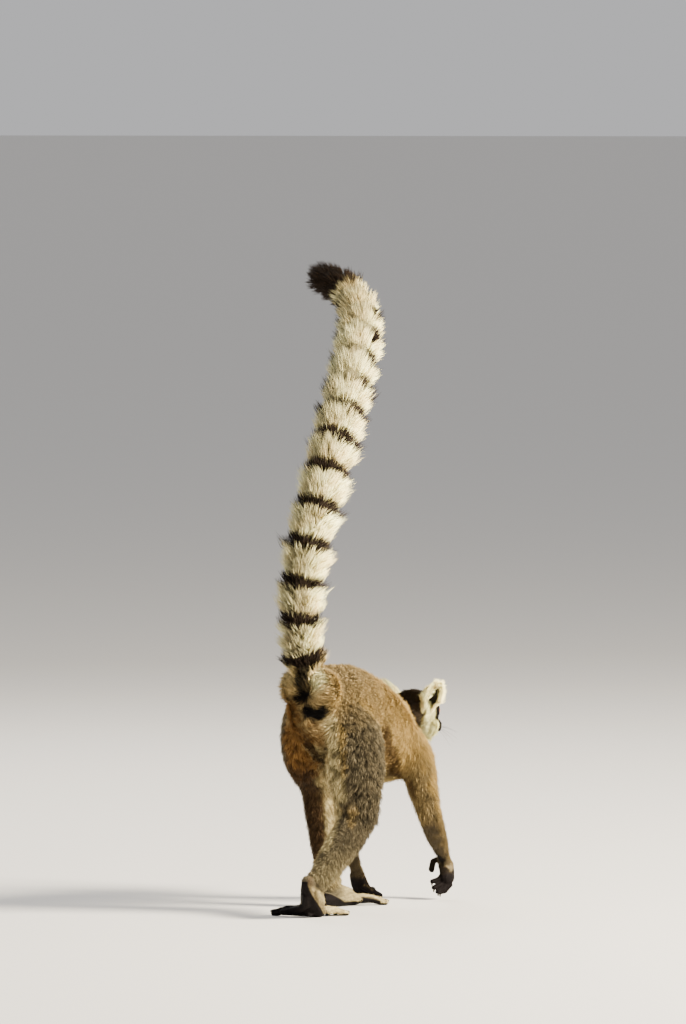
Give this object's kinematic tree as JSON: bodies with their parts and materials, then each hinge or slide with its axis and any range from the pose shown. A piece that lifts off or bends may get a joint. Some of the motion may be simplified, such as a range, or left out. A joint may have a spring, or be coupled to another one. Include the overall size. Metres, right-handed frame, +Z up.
{
  "type": "ring-tailed lemur",
  "caption": "Life-size still model of a ring-tailed lemur in mid stride, its banded tail held high in a bend to the left, its head turned a little to the right.",
  "frame": {"origin": "on the floor, below the middle of the model's box", "axes": "+Z up; the animal walks towards -Y; +X is the animal's left"},
  "size_m": [0.1753, 0.3989, 0.8089],
  "materials": {
    "grey_coat": "matt grey-brown fur",
    "tan_coat": "matt tan fur",
    "pale_coat": "matt cream-white fur",
    "dark_coat": "soft black fur",
    "crown_coat": "matt charcoal fur",
    "dark_skin": "black skin, satin",
    "eye": "wet orange eye"
  },
  "bodies": {
    "root": {"abdomen": "grey_coat", "chest": "tan_coat", "ear_left": "pale_coat", "ear_right": "pale_coat", "eye_left": "eye", "eye_right": "eye", "foot_left": "pale_coat", "foot_right": "pale_coat", "forearm_left": "grey_coat", "forearm_right": "grey_coat", "hand_left": "dark_skin", "hand_right": "dark_skin", "head": "pale_coat", "neck": "crown_coat", "nose": "dark_skin", "rump": "grey_coat", "shank_left": "grey_coat", "shank_right": "grey_coat", "tail_dark_01": "dark_coat", "tail_dark_02": "dark_coat", "tail_dark_03": "dark_coat", "tail_dark_04": "dark_coat", "tail_dark_05": "dark_coat", "tail_dark_06": "dark_coat", "tail_dark_07": "dark_coat", "tail_dark_08": "dark_coat", "tail_dark_09": "dark_coat", "tail_dark_10": "dark_coat", "tail_dark_11": "dark_coat", "tail_dark_12": "dark_coat", "tail_dark_13": "dark_coat", "tail_pale_01": "pale_coat", "tail_pale_02": "pale_coat", "tail_pale_03": "pale_coat", "tail_pale_04": "pale_coat", "tail_pale_05": "pale_coat", "tail_pale_06": "pale_coat", "tail_pale_07": "pale_coat", "tail_pale_08": "pale_coat", "tail_pale_09": "pale_coat", "tail_pale_10": "pale_coat", "tail_pale_11": "pale_coat", "tail_pale_12": "pale_coat", "tail_pale_13": "pale_coat", "tail_root": "tan_coat", "tail_tip": "dark_coat", "thigh_left": "grey_coat", "thigh_right": "grey_coat", "upper_arm_left": "tan_coat", "upper_arm_right": "tan_coat"}
  },
  "joints": []
}
